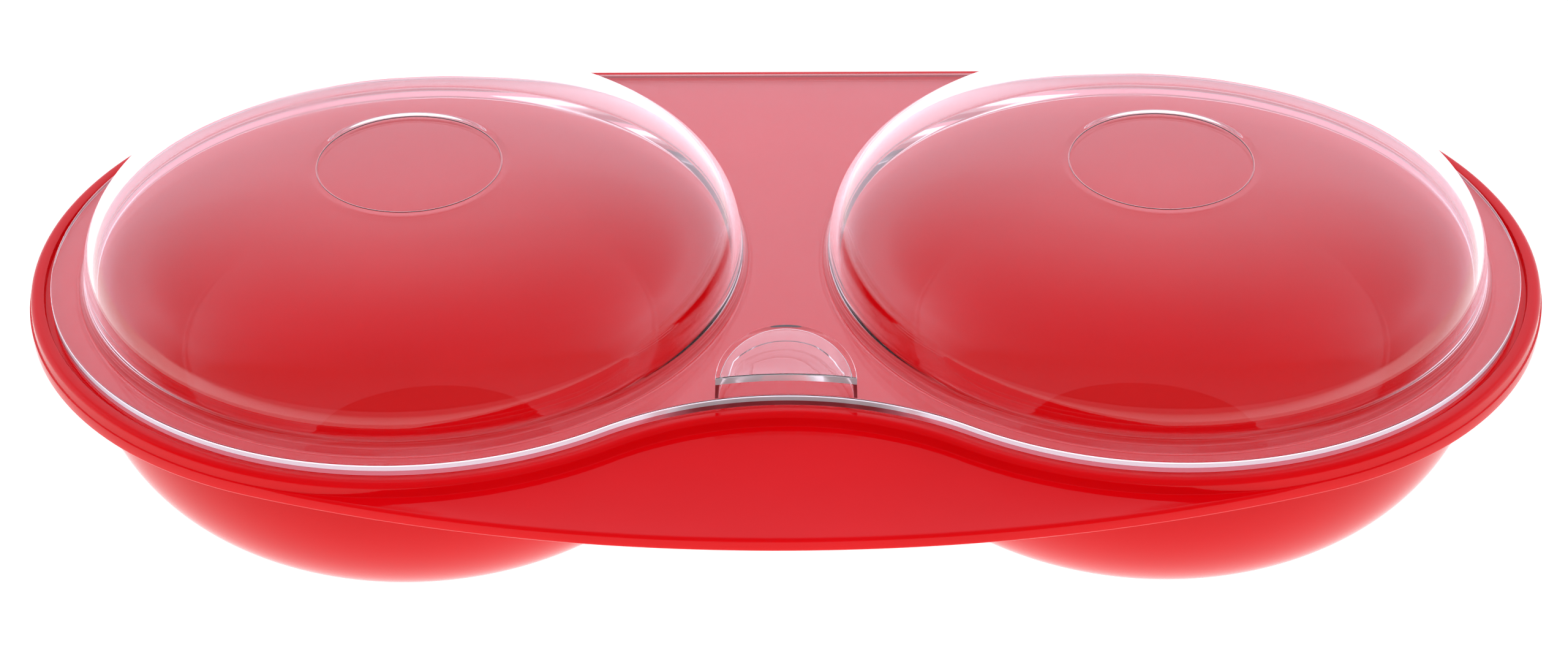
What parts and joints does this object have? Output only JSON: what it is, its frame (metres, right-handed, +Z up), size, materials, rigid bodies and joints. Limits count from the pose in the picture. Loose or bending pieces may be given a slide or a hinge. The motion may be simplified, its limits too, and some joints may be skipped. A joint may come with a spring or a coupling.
{
  "type": "microwave egg cooker",
  "caption": "Red plastic tray with round bowls and a front grip, under a loose clear lid with matching domes and a lift tab.",
  "frame": {"origin": "centre of the outline's box on the floor, under the flat feet of the two bowls", "axes": "+X to the right along the pair of bowls, -Y towards the grip at the front, +Z up"},
  "size_m": [0.2206, 0.1216, 0.054],
  "materials": {
    "red_plastic": "glossy moulded",
    "clear_plastic": "clear, polished"
  },
  "bodies": {
    "tray": {"base_tray": "red_plastic"},
    "lid": {"lid": "clear_plastic"}
  },
  "joints": [
    {"name": "lid_lift", "type": "slide", "parent": "tray", "child": "lid", "axis": [0, 0, 1], "range_m": [0, 0.08]}
  ]
}
